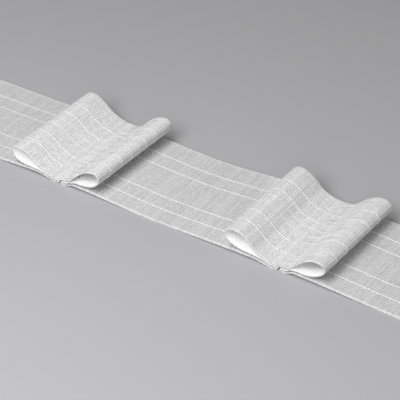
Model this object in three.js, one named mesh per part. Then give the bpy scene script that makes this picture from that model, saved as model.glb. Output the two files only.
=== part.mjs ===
// A cut length of woven curtain heading tape, folded into two box pleats and laid on a table.
// Each pleat is one back-and-forth fold of the same tape: the tape comes in along the table, turns back at a
// crease, swings out round a hollow wing, crosses over the crease, and returns through a second wing.
// Four flat draw cords run the whole length in woven channels on the upper face of the tape.
// Millimetres, +Z up, +X along the tape, +Y across it towards the back edge. The origin is the middle of the
// tape on the table.
import * as THREE from 'three';

// The tape
const tapeWidth = 75;
const tapeThickness = 1.0;
const halfLength = 185;

// The draw cords and the channels that they lie in
const cordWidth = 1.0;
const cordThickness = 0.3;
const cordClearance = 0.32;
const channelDepth = 0.52;
const cords = [
  { name: 'draw_cord_back_outer', y: 21.8 },
  { name: 'draw_cord_back_inner', y: 10.8 },
  { name: 'draw_cord_front_inner', y: -14.0 },
  { name: 'draw_cord_front_outer', y: -25.1 },
];

// Where layers of the tape lie on one another
const creaseRadius = 0.8;
const notchGap = 1.4;
const layerGap = 0.3;
const creaseFlat = 1.6;
const half = tapeThickness / 2;
const creaseAt = notchGap / 2 + half + creaseRadius;
const innerLayer = half + 2 * creaseRadius;
const dipHeight = innerLayer + tapeThickness + layerGap;

// One row for each wing, measured on the middle of the cloth: distances out from the pleat's centre,
// heights above the table and slopes in degrees. tuck is where the inner layer leaves the base, belly the
// underside of the wing, nose its outermost point, crest its top, rise the slope from the crest down to the
// pleat's centre, and arch the soft hump of the base under the wing. back holds what the back edge has more
// than the front edge: the crest's height, the nose's reach, the arch's height and how far out the arch is.
const wings = [
  {
    pleatAt: -60, side: -1,
    tuck: { at: 14.8, height: 4.2, slope: 6 }, belly: { at: 31.6, height: 5.8, slope: 21 },
    nose: { at: 35.7, height: 12.6 }, crest: { at: 31.8, height: 14.3 },
    rise: { at: 19.3, height: 9.4, slope: 42 }, arch: { at: 16, height: 2.2, flatAt: 62 },
    back: { crest: 2.2, reach: -0.4, arch: 0, archOut: 0 },
  },
  {
    pleatAt: -60, side: 1,
    tuck: { at: 12.7, height: 4.9, slope: 3 }, belly: { at: 25.3, height: 7.3, slope: 26 },
    nose: { at: 29.7, height: 13.4 }, crest: { at: 26.1, height: 16.6 },
    rise: { at: 9.8, height: 6.7, slope: 48 }, arch: { at: 11, height: 2, flatAt: 64 },
    back: { crest: 0.3, reach: 0.3, arch: -0.4, archOut: 0 },
  },
  {
    pleatAt: 95, side: -1,
    tuck: { at: 14.2, height: 4.1, slope: 5 }, belly: { at: 31.4, height: 6.8, slope: 26 },
    nose: { at: 35.5, height: 11.7 }, crest: { at: 30, height: 16 },
    rise: { at: 17.2, height: 8.8, slope: 46 }, arch: { at: 17.7, height: 1.7, flatAt: 86 },
    back: { crest: 0.9, reach: 0.6, arch: 1.6, archOut: 14 },
  },
  {
    pleatAt: 95, side: 1,
    tuck: { at: 10.3, height: 4.6, slope: 0 }, belly: { at: 24.5, height: 6.8, slope: 31 },
    nose: { at: 29.2, height: 12.2 }, crest: { at: 24, height: 15.8 },
    rise: { at: 9.4, height: 6.8, slope: 45 }, arch: { at: 9.8, height: 2.1, flatAt: 74 },
    back: { crest: -0.1, reach: 1.4, arch: 0, archOut: 0 },
  },
];

// How finely the bends are cut into straight steps
const degreesPerStep = 17;
const longestStep = 14;
const turnSamples = 24;
const straightWithin = 1e-6;

// A smooth bend between two points of the fold, each with the heading in degrees at which the tape passes it.
function bend(from, to) {
  const chord = Math.hypot(to.x - from.x, to.z - from.z);
  const turn = THREE.MathUtils.degToRad(to.heading - from.heading);
  const handle = chord / (3 * Math.cos(turn / 4) ** 2);
  const ahead = (p, reach) => {
    const heading = THREE.MathUtils.degToRad(p.heading);
    return new THREE.Vector2(p.x + reach * Math.cos(heading), p.z + reach * Math.sin(heading));
  };
  return new THREE.CubicBezierCurve(ahead(from, 0), ahead(from, handle), ahead(to, -handle), ahead(to, 0));
}

// The points of one wing from the base's flat stretch to the pleat's centre, in the direction +X would have
// on a left wing: in along the base, round the crease, out to the nose and back over the crest. The heading
// grows to the left, so it ends a full turn above where it began.
function wingPoints(wing, backness) {
  const reach = wing.back.reach * backness;
  const rise = wing.back.crest * backness;
  const archAt = wing.arch.at + wing.back.archOut * backness;
  const archHeight = half + wing.arch.height + wing.back.arch * backness;
  return [
    { at: wing.arch.flatAt, z: half, heading: 0 },
    { at: archAt, z: archHeight, heading: 0 },
    { at: creaseAt + creaseFlat, z: half, heading: 0 },
    { at: creaseAt, z: half, heading: 0 },
    { at: creaseAt - creaseRadius, z: half + creaseRadius, heading: 90 },
    { at: creaseAt, z: innerLayer, heading: 180 },
    { at: creaseAt + creaseFlat, z: innerLayer, heading: 180 },
    { at: wing.tuck.at, z: wing.tuck.height, heading: 180 - wing.tuck.slope },
    { at: wing.belly.at + reach, z: wing.belly.height, heading: 180 - wing.belly.slope },
    { at: wing.nose.at + reach, z: wing.nose.height + rise / 2, heading: 90 },
    { at: wing.crest.at + reach, z: wing.crest.height + rise, heading: 0 },
    { at: wing.rise.at, z: wing.rise.height + rise / 2, heading: -wing.rise.slope },
    { at: 0, z: dipHeight, heading: 0 },
  ].map((p) => ({ x: wing.pleatAt - p.at, z: p.z, heading: p.heading }));
}

// A right wing is the left wing's list turned round and mirrored about the pleat's centre.
function mirrored(points, pleatAt) {
  return [...points].reverse().map((p) => ({ x: 2 * pleatAt - p.x, z: p.z, heading: -p.heading }));
}

// Every bend of the fold along one edge, from the left end to the right end: backness is 0 at the front edge
// and 1 at the back edge.
function foldBends(backness) {
  const points = [{ x: -halfLength, z: half, heading: 0 }];
  for (const wing of wings) {
    const list = wingPoints(wing, backness);
    points.push(...(wing.side < 0 ? list : mirrored(list, wing.pleatAt).slice(1)));
  }
  points.push({ x: halfLength, z: half, heading: 0 });
  return points.slice(1).map((to, i) => bend(points[i], to));
}

// How many straight steps a bend needs: enough for how far it turns and for how long it is.
function stepsFor(curve) {
  let turned = 0;
  for (let i = 1; i <= turnSamples; i += 1) {
    turned += Math.abs(curve.getTangent((i - 1) / turnSamples).angleTo(curve.getTangent(i / turnSamples)));
  }
  if (turned < straightWithin) {
    return 1;
  }
  const byTurn = Math.ceil(THREE.MathUtils.radToDeg(turned) / degreesPerStep);
  return Math.max(2, byTurn, Math.ceil(curve.getLength() / longestStep));
}

// The stations along the tape, each with its place and its upward side on the front edge and the back edge.
const frontBends = foldBends(0);
const backBends = foldBends(1);
const stations = [];
frontBends.forEach((front, i) => {
  const steps = stepsFor(front);
  for (let k = i === 0 ? 0 : 1; k <= steps; k += 1) {
    const place = (curve) => ({ point: curve.getPoint(k / steps), along: curve.getTangent(k / steps) });
    stations.push({ front: place(front), back: place(backBends[i]) });
  }
});

// A point of the tape at one station: y across the tape, lift above the middle of the cloth towards its face.
function onTape(station, y, lift) {
  const backness = y / tapeWidth + 0.5;
  const point = station.front.point.clone().lerp(station.back.point, backness);
  const along = station.front.along.clone().lerp(station.back.along, backness).normalize();
  return [point.x - along.y * lift, y, point.y + along.x * lift];
}

// Sweeps a closed section of [y, lift] corners along the stations and closes both ends.
function sweep(section) {
  const corners = section.length;
  const positions = stations.flatMap((station) => section.flatMap(([y, lift]) => onTape(station, y, lift)));
  const faces = [];
  for (let i = 0; i + 1 < stations.length; i += 1) {
    for (let j = 0; j < corners; j += 1) {
      const next = (j + 1) % corners;
      const [a, b] = [i * corners + j, i * corners + next];
      const [c, d] = [a + corners, b + corners];
      faces.push(a, b, c, b, d, c);
    }
  }
  const outline = section.map(([y, lift]) => new THREE.Vector2(y, lift));
  const last = (stations.length - 1) * corners;
  for (const [p, q, r] of THREE.ShapeUtils.triangulateShape(outline, [])) {
    faces.push(p, r, q, last + p, last + q, last + r);
  }
  const geometry = new THREE.BufferGeometry();
  geometry.setAttribute('position', new THREE.Float32BufferAttribute(positions, 3));
  geometry.setIndex(faces);
  geometry.computeVertexNormals();
  return geometry;
}

// The woven tape: a flat band with one shallow channel on its face for each cord.
function tapeSection() {
  const channelHalf = cordWidth / 2 + cordClearance;
  const edge = tapeWidth / 2;
  const face = cords.flatMap(({ y }) => [
    [y + channelHalf, half],
    [y + channelHalf, half - channelDepth],
    [y - channelHalf, half - channelDepth],
    [y - channelHalf, half],
  ]);
  return [[-edge, -half], [edge, -half], [edge, half], ...face, [-edge, half]];
}

// A draw cord: a flat strand that stands a little proud of the tape's face.
function cordSection(y) {
  const low = half - channelDepth + cordClearance;
  const high = low + cordThickness;
  const side = cordWidth / 2;
  return [[y - side, low], [y + side, low], [y + side, high], [y - side, high]];
}

const wovenWhite = new THREE.MeshStandardMaterial({ color: 0xd8d8d8, roughness: 0.85, metalness: 0 });
const cordWhite = new THREE.MeshStandardMaterial({ color: 0xf2f2f2, roughness: 0.6, metalness: 0 });

const headingTape = new THREE.Group();
function add(name, geometry, material) {
  const mesh = new THREE.Mesh(geometry, material);
  mesh.name = name;
  headingTape.add(mesh);
}

add('tape', sweep(tapeSection()), wovenWhite);
for (const { name, y } of cords) {
  add(name, sweep(cordSection(y)), cordWhite);
}

export default headingTape;
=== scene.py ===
# A cut length of woven curtain heading tape, folded into two box pleats and lying on a pale table.
# Sizes are in millimetres, and mm turns them into Blender's metres. The floor and the lights are in metres.
import math

import bmesh
import bpy
from mathutils import Matrix, Vector, geometry, noise


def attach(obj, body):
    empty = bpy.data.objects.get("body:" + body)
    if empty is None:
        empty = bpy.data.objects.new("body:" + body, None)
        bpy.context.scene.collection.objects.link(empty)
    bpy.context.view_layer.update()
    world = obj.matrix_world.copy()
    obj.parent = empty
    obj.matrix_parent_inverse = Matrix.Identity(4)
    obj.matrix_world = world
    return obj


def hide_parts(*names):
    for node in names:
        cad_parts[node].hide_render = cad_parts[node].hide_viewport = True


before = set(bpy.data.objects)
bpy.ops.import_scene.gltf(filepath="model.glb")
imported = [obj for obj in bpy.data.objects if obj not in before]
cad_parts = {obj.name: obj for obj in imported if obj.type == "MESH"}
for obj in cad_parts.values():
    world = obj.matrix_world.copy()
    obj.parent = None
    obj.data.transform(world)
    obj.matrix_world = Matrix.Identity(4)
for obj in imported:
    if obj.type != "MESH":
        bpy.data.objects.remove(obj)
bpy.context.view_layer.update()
mm = 0.001

# The camera looks down on the tape from its front right, along the photo's own line of sight, with a long
# lens from a little under a metre away.
camera_bearing = math.radians(34.17)
camera_height_angle = math.radians(34.59)
camera_distance = 912.8 * mm
looked_at = Vector((19.8 * mm, -4.1 * mm, 0))

camera_data = bpy.data.cameras.new("camera")
camera_data.lens = 138.2
camera_data.sensor_width = 36
camera_data.clip_start = 0.01
camera = bpy.data.objects.new("camera", camera_data)
bpy.context.scene.collection.objects.link(camera)
towards_camera = Vector((
    math.sin(camera_bearing) * math.cos(camera_height_angle),
    -math.cos(camera_bearing) * math.cos(camera_height_angle),
    math.sin(camera_height_angle),
))
camera.location = looked_at + towards_camera * camera_distance
camera.rotation_euler = (math.pi / 2 - camera_height_angle, 0, camera_bearing)
bpy.context.scene.camera = camera

# The tape's fold line. Polyester tape, creased hard at the middle of each pleat and left to spring open in
# two hollow wings beside it. Each wing is a row of points on the middle of the cloth, in millimetres out from
# the pleat's centre and above the table, with the slope in degrees at which the cloth passes them.
tape_width = 75
tape_thickness = 1.0
half_length = 185
half = tape_thickness / 2
crease_radius = 0.8
notch_gap = 1.4
layer_gap = 0.3
crease_flat = 1.6
crease_at = notch_gap / 2 + half + crease_radius
inner_layer = half + 2 * crease_radius
dip_height = inner_layer + tape_thickness + layer_gap
steps_per_bend = 48
wings = [
    dict(
        pleat_at=-60, side=-1,
        tuck=(14.8, 4.2, 6), belly=(31.6, 5.8, 21), nose=(35.7, 12.6), crest=(31.8, 14.3),
        rise=(19.3, 9.4, 42), arch=(16, 2.2, 62),
        back_crest=2.2, back_reach=-0.4, back_arch=0, back_arch_out=0,
    ),
    dict(
        pleat_at=-60, side=1,
        tuck=(12.7, 4.9, 3), belly=(25.3, 7.3, 26), nose=(29.7, 13.4), crest=(26.1, 16.6),
        rise=(9.8, 6.7, 48), arch=(11, 2, 64),
        back_crest=0.3, back_reach=0.3, back_arch=-0.4, back_arch_out=0,
    ),
    dict(
        pleat_at=95, side=-1,
        tuck=(14.2, 4.1, 5), belly=(31.4, 6.8, 26), nose=(35.5, 11.7), crest=(30, 16),
        rise=(17.2, 8.8, 46), arch=(17.7, 1.7, 86),
        back_crest=0.9, back_reach=0.6, back_arch=1.6, back_arch_out=14,
    ),
    dict(
        pleat_at=95, side=1,
        tuck=(10.3, 4.6, 0), belly=(24.5, 6.8, 31), nose=(29.2, 12.2), crest=(24, 15.8),
        rise=(9.4, 6.8, 45), arch=(9.8, 2.1, 74),
        back_crest=-0.1, back_reach=1.4, back_arch=0, back_arch_out=0,
    ),
]


def wing_points(wing, backness):
    """One wing from the base's flat stretch to the pleat's centre: distance out, height and heading.

    backness is 0 at the front edge and 1 at the back edge, where the wing differs by its back_ values."""
    reach = wing["back_reach"] * backness
    rise = wing["back_crest"] * backness
    arch_at, arch_height, flat_at = wing["arch"]
    arch_at += wing["back_arch_out"] * backness
    arch_height += half + wing["back_arch"] * backness
    tuck_at, tuck_height, tuck_slope = wing["tuck"]
    belly_at, belly_height, belly_slope = wing["belly"]
    nose_at, nose_height = wing["nose"]
    crest_at, crest_height = wing["crest"]
    rise_at, rise_height, rise_slope = wing["rise"]
    points = [
        (flat_at, half, 0),
        (arch_at, arch_height, 0),
        (crease_at + crease_flat, half, 0),
        (crease_at, half, 0),
        (crease_at - crease_radius, half + crease_radius, 90),
        (crease_at, inner_layer, 180),
        (crease_at + crease_flat, inner_layer, 180),
        (tuck_at, tuck_height, 180 - tuck_slope),
        (belly_at + reach, belly_height, 180 - belly_slope),
        (nose_at + reach, nose_height + rise / 2, 90),
        (crest_at + reach, crest_height + rise, 0),
        (rise_at, rise_height + rise / 2, -rise_slope),
        (0, dip_height, 0),
    ]
    if wing["side"] < 0:
        return [(wing["pleat_at"] - at, z, heading) for at, z, heading in points]
    return [(wing["pleat_at"] + at, z, -heading) for at, z, heading in reversed(points[:-1])]


def bend(start, end):
    """The places along one smooth bend between two points, which it passes at their headings."""
    chord = math.hypot(end[0] - start[0], end[1] - start[1])
    handle = chord / (3 * math.cos(math.radians(end[2] - start[2]) / 4) ** 2)
    knots = [Vector((x, 0, z)) for x, z, _ in (start, end)]
    angles = [math.radians(heading) for _, _, heading in (start, end)]
    ways = [Vector((math.cos(angle), 0, math.sin(angle))) for angle in angles]
    return geometry.interpolate_bezier(
        knots[0], knots[0] + ways[0] * handle, knots[1] - ways[1] * handle, knots[1], steps_per_bend + 1
    )


def edge_line(backness):
    """The whole fold line along one edge, with as many steps in each bend, so that both edges keep step."""
    points = [(-half_length, half, 0)]
    for wing in wings:
        points += wing_points(wing, backness)
    points.append((half_length, half, 0))
    line = [Vector((points[0][0], 0, points[0][1]))]
    for start, end in zip(points, points[1:]):
        line += bend(start, end)[1:]
    return line


front_line = edge_line(0)
back_line = edge_line(1)
middle_line = [(a + b) / 2 for a, b in zip(front_line, back_line)]
run = [0.0]
for before, after in zip(middle_line, middle_line[1:]):
    run.append(run[-1] + (after - before).length)
flat_length = run[-1]


def stations(count):
    """count + 1 stations at equal lengths of tape: the length, and the place and direction of both edges."""
    found = []
    j = 0
    for i in range(count + 1):
        along = flat_length * i / count
        while j + 2 < len(run) and run[j + 1] < along:
            j += 1
        share = (along - run[j]) / (run[j + 1] - run[j])
        ends = []
        for line in (front_line, back_line):
            ahead, behind = line[min(j + 2, len(line) - 1)], line[max(j - 1, 0)]
            early = (line[j + 1] - behind).normalized()
            late = (ahead - line[j]).normalized()
            ends.append((line[j].lerp(line[j + 1], share), early.lerp(late, share).normalized()))
        found.append((along, ends))
    return found


def on_tape(station, y, lift):
    """A point in metres: y across the tape and lift above the middle of the cloth, both in millimetres."""
    backness = y / tape_width + 0.5
    (front, front_way), (back, back_way) = station[1]
    place = front.lerp(back, backness)
    way = front_way.lerp(back_way, backness).normalized()
    return Vector((place.x - way.z * lift, y, place.z + way.x * lift)) * mm


# The tape itself. One band of white polyester, woven with fat ribs straight across on its face and smooth on
# its back, with a firm, slightly scalloped selvedge along each edge. It is cut straight at both ends.
edge = tape_width / 2
face_columns = 22
edge_columns = 3
back_columns = 4
corner_round = 0.14
face_corner_sharpness = 30
back_corner_sharpness = 8

rib_pitch = 1.35
rib_height = 0.2
back_rib_height = 0.05
steps_per_rib = 5
rib_unevenness = 0.5
uneven_per_rib = 0.6
uneven_width = 6
selvedge_width = 1.6
selvedge_ribs = 0.35
selvedge_scallop = 0.14

# Above backed_from the cloth lies over other cloth, and its colour there is painted lighter for the light
# that comes through the thin layers. The slopes that rise to the right wings are puckered.
backed_from = 3
backed_over = 0.8
pucker_middle = 12
pucker_reach = 14
pucker_fade = 6

yarn_pitch = 0.6
stripes = (3.3, -3.7)
stripe_reach = 0.3
fine_stripe_pitch = 2.3
full_turn = 2 * math.pi
weld_within = 1e-7


def section_point(column):
    """Round the tape's section, face first: place across, lift, and how much of the ribs shows there."""
    if column <= face_columns:
        c = 1 - 2 * column / face_columns
        y = edge * math.sin(c * math.pi / 2)
        ribs_there = 1 if abs(y) < edge - selvedge_width else selvedge_ribs
        return y, half * (1 - corner_round * abs(c) ** face_corner_sharpness), ribs_there
    column -= face_columns
    low = half * (1 - corner_round)
    if column < edge_columns:
        share = column / edge_columns
        return -edge, low * (1 - 2 * share), selvedge_ribs * (1 - share)
    column -= edge_columns
    if column <= back_columns:
        c = 2 * column / back_columns - 1
        y = edge * math.sin(c * math.pi / 2)
        return y, half * (corner_round * abs(c) ** back_corner_sharpness - 1), 0
    share = (column - back_columns) / edge_columns
    return edge, low * (2 * share - 1), selvedge_ribs * share


def from_0_to_1(amount):
    """Keeps an amount between 0 and 1."""
    return min(1, max(0, amount))


def close_round(band, sides, across, along):
    """Joins a band's long edges, fills its ends and maps the weave on it, across by along."""
    bmesh.ops.remove_doubles(band, verts=band.verts, dist=weld_within)
    bmesh.ops.holes_fill(band, edges=[e for e in band.edges if e.is_boundary], sides=sides)
    bmesh.ops.recalc_face_normals(band, faces=band.faces)
    weave_map = band.loops.layers.uv.new("weave")
    for face in band.faces:
        face.smooth = True
        for loop in face.loops:
            loop[weave_map].uv = (loop.vert[across], loop.vert[along])


def as_object(mesh, name):
    """Turns a finished mesh into an object of the scene, which stays at the origin."""
    data = bpy.data.meshes.new(name)
    mesh.to_mesh(data)
    mesh.free()
    made = bpy.data.objects.new(name, data)
    bpy.context.scene.collection.objects.link(made)
    return made


ribs = round(flat_length / rib_pitch)
columns = face_columns + edge_columns + back_columns + edge_columns
section = [section_point(c) for c in range(columns + 1)]
tape_stations = stations(ribs * steps_per_rib)

tape_mesh = bmesh.new()
bmesh.ops.create_grid(tape_mesh, x_segments=len(tape_stations) - 1, y_segments=columns, size=0.5)
along_layer = tape_mesh.verts.layers.float.new("along")
across_layer = tape_mesh.verts.layers.float.new("across")
face_layer = tape_mesh.verts.layers.float.new("face")
backing_layer = tape_mesh.verts.layers.float.new("backing")
pucker_layer = tape_mesh.verts.layers.float.new("puckered")
for vert in tape_mesh.verts:
    i = round((vert.co.x + 0.5) * (len(tape_stations) - 1))
    column = round((vert.co.y + 0.5) * columns)
    y, lift, ribbed = section[column]
    valley = (math.cos(full_turn * i / steps_per_rib) - 1) / 2
    uneven_at = Vector((i / steps_per_rib * uneven_per_rib, y / uneven_width, 0))
    evenness = 1 + rib_unevenness * noise.noise(uneven_at)
    lift += valley * (rib_height * evenness * ribbed - back_rib_height * (1 - ribbed))
    if abs(y) >= edge:
        y += math.copysign(selvedge_scallop * ribbed * math.cos(math.pi * i / steps_per_rib) / 2, y)
    vert.co = on_tape(tape_stations[i], y, lift)
    vert[along_layer] = tape_stations[i][0] * mm
    vert[across_layer] = y * mm
    vert[face_layer] = 1 if ribbed else 0
    vert[backing_layer] = from_0_to_1((vert.co.z / mm - backed_from) / backed_over)
    off_slope = min(abs(vert.co.x / mm - wing["pleat_at"] - pucker_middle) for wing in wings)
    vert[pucker_layer] = vert[backing_layer] * from_0_to_1((pucker_reach - off_slope) / pucker_fade)
close_round(tape_mesh, columns, across_layer, along_layer)
tape = as_object(tape_mesh, "tape_cloth")


def new_finish(name, sockets):
    """A new material and its shader, with these sockets of the shader set."""
    material = bpy.data.materials.new(name)
    material.use_nodes = True
    shader = material.node_tree.nodes["Principled BSDF"]
    for socket, value in sockets.items():
        shader.inputs[socket].default_value = value
    return material, shader


def new_node(tree, kind, inputs, **settings):
    """The outputs of a new node, with a value or another node's output on each of these inputs."""
    node = tree.nodes.new("ShaderNode" + kind)
    for setting, value in settings.items():
        setattr(node, setting, value)
    for socket, value in inputs.items():
        if isinstance(value, bpy.types.NodeSocket):
            tree.links.new(value, node.inputs[socket])
        else:
            node.inputs[socket].default_value = value
    return node.outputs


def woven_white():
    """Matt white polyester with fine warp yarns across, and painted shade between its ribs, so that their
    backs look paler.

    Painted light: the cloth is coloured whiter where more layers of it lie under it than on the bare table,
    for the light that comes through the thin cloth."""
    material, cloth = new_finish("woven_white", {
        "Roughness": 0.85, "Specular IOR Level": 0.12, "Sheen Weight": 0.02, "Sheen Roughness": 0.5,
    })
    tree = material.node_tree

    def maths(operation, *values):
        return new_node(tree, "Math", dict(enumerate(values)), operation=operation)["Value"]

    def between(share, at_0, at_1):
        return maths("MULTIPLY_ADD", share, at_1 - at_0, at_0)

    def carried(layer):
        return new_node(tree, "Attribute", {}, attribute_name=layer)["Fac"]

    def grey(share, dark, pale):
        ramp = tree.nodes.new("ShaderNodeValToRGB")
        for stop, tone in zip(ramp.color_ramp.elements, (dark, pale)):
            stop.color = (tone, tone, tone, 1)
        tree.links.new(share, ramp.inputs["Fac"])
        return ramp.outputs["Color"]

    # Where a point lies in the weave. The yarns of every second rib are half a yarn to the side.
    weave = new_node(tree, "UVMap", {}, uv_map="weave")["UV"]
    place = new_node(tree, "SeparateXYZ", {"Vector": weave})
    across, along = place["X"], place["Y"]
    rib_phase = maths("MULTIPLY", along, full_turn * ribs / (flat_length * mm))
    rib_wave = maths("COSINE", rib_phase)
    rib_number = maths("ROUND", maths("DIVIDE", rib_phase, full_turn))
    odd = maths("PINGPONG", rib_number, 1)
    yarn_place = maths("MULTIPLY_ADD", odd, 0.5, maths("DIVIDE", across, yarn_pitch * mm))
    yarn = maths("ABSOLUTE", maths("SINE", maths("MULTIPLY", yarn_place, math.pi)))
    off_middle = maths("ABSOLUTE", across)
    rim_width = 0.1
    selvedge = maths("COMPARE", off_middle, edge * mm, selvedge_width * mm)
    rim = maths("COMPARE", off_middle, edge * mm, rim_width * mm)
    stripe = maths("ADD", *[maths("COMPARE", across, y * mm, stripe_reach * mm) for y in stripes])
    fine_stripes = maths("COSINE", maths("MULTIPLY", across, full_turn / (fine_stripe_pitch * mm)))
    face, backed = carried("face"), carried("backing")

    # No two yarns, ribs or patches of cloth are quite alike.
    rib_chance, patch_chance, patches_per_metre = 0.6, 0.2, 90
    yarn_and_rib = new_node(tree, "CombineXYZ", {"X": maths("FLOOR", yarn_place), "Y": rib_number})["Vector"]
    each_yarn = new_node(tree, "TexWhiteNoise", {"Vector": yarn_and_rib}, noise_dimensions="2D")["Value"]
    each_rib = new_node(tree, "TexWhiteNoise", {"W": rib_number}, noise_dimensions="1D")["Value"]
    each_patch = new_node(tree, "TexNoise", {"Vector": weave, "Scale": patches_per_metre})["Fac"]
    uneven = maths("MULTIPLY_ADD", each_rib, rib_chance, each_yarn)
    uneven = maths("MULTIPLY_ADD", each_patch, patch_chance, uneven)

    # The face runs from its dark grey at 0 to its pale grey at 1, by what each of these adds.
    rib_painted_shade, rib_painted_shade_backed, rib_painted_shade_on_selvedge = 0.36, 0.22, 0.4
    base_shade, yarn_shade, uneven_shade = 0.01, 0.22, 0.4
    fine_stripe_shade, stripe_shade, stripe_shade_backed = 0.05, 0.06, 0.36
    face_dark, face_pale = 0.46, 0.78
    # Painted shade: the face is coloured greyer between the ribs, less so over other cloth and on the
    # selvedge.
    rib_painted_shade_contrast = between(backed, rib_painted_shade, rib_painted_shade_backed)
    rib_painted_shade_contrast = maths("MULTIPLY", rib_painted_shade_contrast, between(selvedge, 1, rib_painted_shade_on_selvedge))
    shade = maths("MULTIPLY_ADD", rib_wave, rib_painted_shade_contrast, base_shade)
    shade = maths("MULTIPLY_ADD", yarn, yarn_shade, shade)
    shade = maths("MULTIPLY_ADD", uneven, uneven_shade, shade)
    shade = maths("MULTIPLY_ADD", fine_stripes, fine_stripe_shade, shade)
    shade = maths("MULTIPLY_ADD", stripe, between(backed, stripe_shade, stripe_shade_backed), shade)

    # Painted light: it is coloured whiter over other cloth, for the light that comes through the thin layers,
    # with a painted highlight on the selvedge and painted shade on the selvedge's own rim.
    backed_painted_light_gain, selvedge_painted_highlight, rim_painted_shade = 1.19, 0.16, 0.14
    painted_light_scale = maths("MULTIPLY_ADD", selvedge, selvedge_painted_highlight, between(backed, 1, backed_painted_light_gain))
    painted_light_scale = maths("MULTIPLY_ADD", rim, -rim_painted_shade, maths("MINIMUM", painted_light_scale, backed_painted_light_gain))
    face_tone = new_node(
        tree, "VectorMath", {0: grey(shade, face_dark, face_pale), "Scale": painted_light_scale}, operation="SCALE",
    )["Vector"]

    # The back is smooth and pale, with only its yarns showing.
    back_dark, back_pale, back_yarn_shade, back_chance_shade = 0.77, 0.91, 0.6, 0.4
    back_shade = maths("MULTIPLY_ADD", each_yarn, back_chance_shade, maths("MULTIPLY", yarn, back_yarn_shade))
    back_tone = grey(back_shade, back_dark, back_pale)
    colour = new_node(tree, "Mix", {"Factor": face, "A": back_tone, "B": face_tone}, data_type="RGBA")
    tree.links.new(colour["Result"], cloth.inputs["Base Color"])

    # Long soft puckers, with the yarns standing out on them, less so between the ribs and on the back.
    puckers_across, puckers_along, pucker_depth = 240, 60, 1.3
    yarn_depth, yarn_strength = 0.08, 0.8
    yarn_relief, rib_relief, chance_relief, back_relief = 0.7, 0.3, 0.3, 0.65
    stretched = new_node(tree, "Mapping", {"Vector": weave, "Scale": (puckers_across, puckers_along, 1)})
    puckers = new_node(tree, "TexNoise", {"Vector": stretched["Vector"], "Scale": 1, "Detail": 1})["Fac"]
    pucker_height = maths("MULTIPLY", puckers, carried("puckered"))
    puckered = new_node(tree, "Bump", {
        "Strength": 1, "Distance": pucker_depth * mm, "Height": pucker_height,
    })["Normal"]
    relief = maths("MULTIPLY", yarn, maths("MULTIPLY_ADD", rib_wave, rib_relief, yarn_relief))
    relief = maths("MULTIPLY_ADD", each_yarn, chance_relief, relief)
    relief = maths("MULTIPLY", relief, between(face, back_relief, 1))
    bumped = new_node(tree, "Bump", {
        "Strength": yarn_strength, "Distance": yarn_depth * mm, "Height": relief, "Normal": puckered,
    })["Normal"]
    tree.links.new(bumped, cloth.inputs["Normal"])
    return material


tape.data.materials.append(woven_white())
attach(tape, "root")
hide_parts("tape")

# The four draw cords. Flat bundles of bright polyester filament, in two pairs that run the whole length. They
# are woven in as the tape is made, and a binding thread pinches each down to the face at every second rib.
cords = {
    "draw_cord_back_outer": 21.8,
    "draw_cord_back_inner": 10.8,
    "draw_cord_front_inner": -14.0,
    "draw_cord_front_outer": -25.1,
}
cord_width = 0.95
cord_height = 0.34
cord_sides = 10
pinch_width = 0.65
pinch_height = 0.7
pinch_depth = 0.12
float_rise = 0.14
steps_per_float = 8
cord_wander = 0.25
wander_length = 6
cord_sink = 0.2
most_sunk_at = 6
sunk_within = 13
sinking_over = 6
floats = ribs // 2
cord_stations = stations(floats * steps_per_float)


def float_swell(i):
    """0 where a binding thread pinches the cord and 1 in the middle of a float."""
    return math.sin(math.pi * i / steps_per_float) ** 2


def cord_middle(i, y):
    """The cord wanders a little to either side of its line, as woven-in cords do."""
    drift = noise.noise(Vector((cord_stations[i][0] / wander_length, y, 0)))
    return y + cord_wander * drift


def sunk(i):
    """How far the cord sinks between the ribs: most where the cloth turns up from a dip to the right wing."""
    at = on_tape(cord_stations[i], 0, 0).x / mm
    away = min(abs(at - wing["pleat_at"] - most_sunk_at) for wing in wings)
    return cord_sink * from_0_to_1((sunk_within - away) / sinking_over)


def draw_cord(name, y):
    """One cord from end to end, as a flat oval strand that swells between its binding threads."""
    strand = bmesh.new()
    bmesh.ops.create_grid(strand, x_segments=len(cord_stations) - 1, y_segments=cord_sides, size=0.5)
    along = strand.verts.layers.float.new("along")
    round_it = strand.verts.layers.float.new("round_it")
    for vert in strand.verts:
        i = round((vert.co.x + 0.5) * (len(cord_stations) - 1))
        vert[along] = cord_stations[i][0] * mm
        vert[round_it] = vert.co.y + 0.5
        turn = -full_turn * (vert.co.y + 0.5)
        swell = float_swell(i)
        width = cord_width * (pinch_width + (1 - pinch_width) * swell)
        height = cord_height * (pinch_height + (1 - pinch_height) * swell)
        middle_lift = half - pinch_depth + float_rise * swell - sunk(i)
        vert.co = on_tape(
            cord_stations[i],
            cord_middle(i, y) + width / 2 * math.cos(turn),
            middle_lift + height / 2 * math.sin(turn),
        )
    close_round(strand, cord_sides, round_it, along)
    return as_object(strand, name + "_cord")


def filament_white():
    """Bright white polyester filament with a soft gloss, its fine strands running along the cord."""
    cord_tone = 0.845
    strands_round, strand_breaks_per_metre, strand_depth = 60, 400, 0.04
    material, filament = new_finish("filament_white", {
        "Base Color": (cord_tone, cord_tone, cord_tone, 1), "Roughness": 0.45, "Sheen Weight": 0.2,
    })
    tree = material.node_tree
    weave = new_node(tree, "UVMap", {}, uv_map="weave")["UV"]
    stretch = (strands_round, strand_breaks_per_metre, 1)
    stretched = new_node(tree, "Mapping", {"Vector": weave, "Scale": stretch})["Vector"]
    grain = new_node(tree, "TexNoise", {"Vector": stretched, "Scale": 1})["Fac"]
    bumped = new_node(tree, "Bump", {"Strength": 0.5, "Distance": strand_depth * mm, "Height": grain})
    tree.links.new(bumped["Normal"], filament.inputs["Normal"])
    return material


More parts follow.
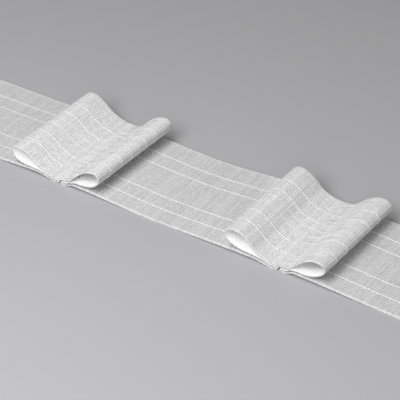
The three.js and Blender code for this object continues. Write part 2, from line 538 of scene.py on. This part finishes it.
cord_finish = filament_white()
for node, y in cords.items():
    cord = draw_cord(node, y)
    cord.data.materials.append(cord_finish)
    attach(cord, "root")
    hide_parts(node)

# The binding threads. Fine white yarns that come up out of the weave beside each cord, cross it and go down
# again, one at every second rib, and hold the cord to the tape.
binding_reach = 0.55
binding_rise = 0.26
binding_depth = 0.1
binding_thread = 0.11
binding_segments = 5
binding_sides = 4

one_binding = bmesh.new()
bmesh.ops.create_circle(
    one_binding, cap_ends=True, segments=binding_sides, radius=binding_thread,
    matrix=Matrix.Translation((0, 1, 0)),
)
bmesh.ops.spin(
    one_binding, geom=one_binding.verts[:] + one_binding.edges[:] + one_binding.faces[:],
    cent=(0, 0, 0), axis=(1, 0, 0), angle=math.pi, steps=binding_segments,
)
bmesh.ops.recalc_face_normals(one_binding, faces=one_binding.faces)
binding_shape = bpy.data.meshes.new("binding_shape")
one_binding.to_mesh(binding_shape)
one_binding.free()

binding_size = Matrix.Diagonal((mm, binding_reach * mm, binding_rise * mm, 1))
straight_across = Vector((0, 1, 0))
bindings_mesh = bmesh.new()
for y in cords.values():
    for i in range(steps_per_float, len(cord_stations) - 1, steps_per_float):
        middle = cord_middle(i, y)
        foot = on_tape(cord_stations[i], middle, half - binding_depth)
        up = (on_tape(cord_stations[i], middle, half + 1) - foot).normalized()
        lengthways = straight_across.cross(up).normalized()
        seat = Matrix((lengthways, straight_across, up)).transposed().to_4x4()
        seat.translation = foot
        known = len(bindings_mesh.verts)
        bindings_mesh.from_mesh(binding_shape)
        bindings_mesh.verts.ensure_lookup_table()
        bmesh.ops.transform(bindings_mesh, matrix=seat @ binding_size, verts=bindings_mesh.verts[known:])
bpy.data.meshes.remove(binding_shape)
bindings = as_object(bindings_mesh, "binding_threads")
bindings.data.materials.append(cord_finish)
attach(bindings, "root")

# The floor is a plain pale table top of matt paint, a little greyer than the tape, so that the white edges
# read against it.
floor_reach = 1.5
floor_grey = (0.46, 0.46, 0.47, 1)
floor_mesh = bmesh.new()
bmesh.ops.create_grid(floor_mesh, x_segments=1, y_segments=1, size=floor_reach)
floor = as_object(floor_mesh, "floor")
floor_paint, _ = new_finish("floor_paint", {"Base Color": floor_grey, "Roughness": 0.9})
floor.data.materials.append(floor_paint)

# The light is a studio's: a large soft box high in front of the tape, one above it and a little to its left,
# and one at the front right, low enough to reach into the open wings, with a little even light from the room.
room_light = 0.18
surround = bpy.data.worlds.new("surround")
surround.use_nodes = True
surround.node_tree.nodes["Background"].inputs["Color"].default_value = (1, 1, 1, 1)
surround.node_tree.nodes["Background"].inputs["Strength"].default_value = room_light
bpy.context.scene.world = surround
bpy.context.scene.view_settings.view_transform = "Standard"


def soft_box(name, place, size, power):
    """A square soft light in metres and watts, turned to face the tape."""
    light = bpy.data.lights.new(name, "AREA")
    light.size = size
    light.energy = power
    lamp = bpy.data.objects.new(name, light)
    lamp.location = place
    lamp.rotation_euler = Vector(place).to_track_quat("Z", "Y").to_euler()
    bpy.context.scene.collection.objects.link(lamp)


soft_box("front", place=(0, -0.6, 0.6), size=0.48, power=4.65)
soft_box("overhead", place=(-0.13, -0.33, 1.19), size=0.6, power=4.9)
soft_box("front_low", place=(0.825, -1.605, 0.54), size=0.95, power=7.2)
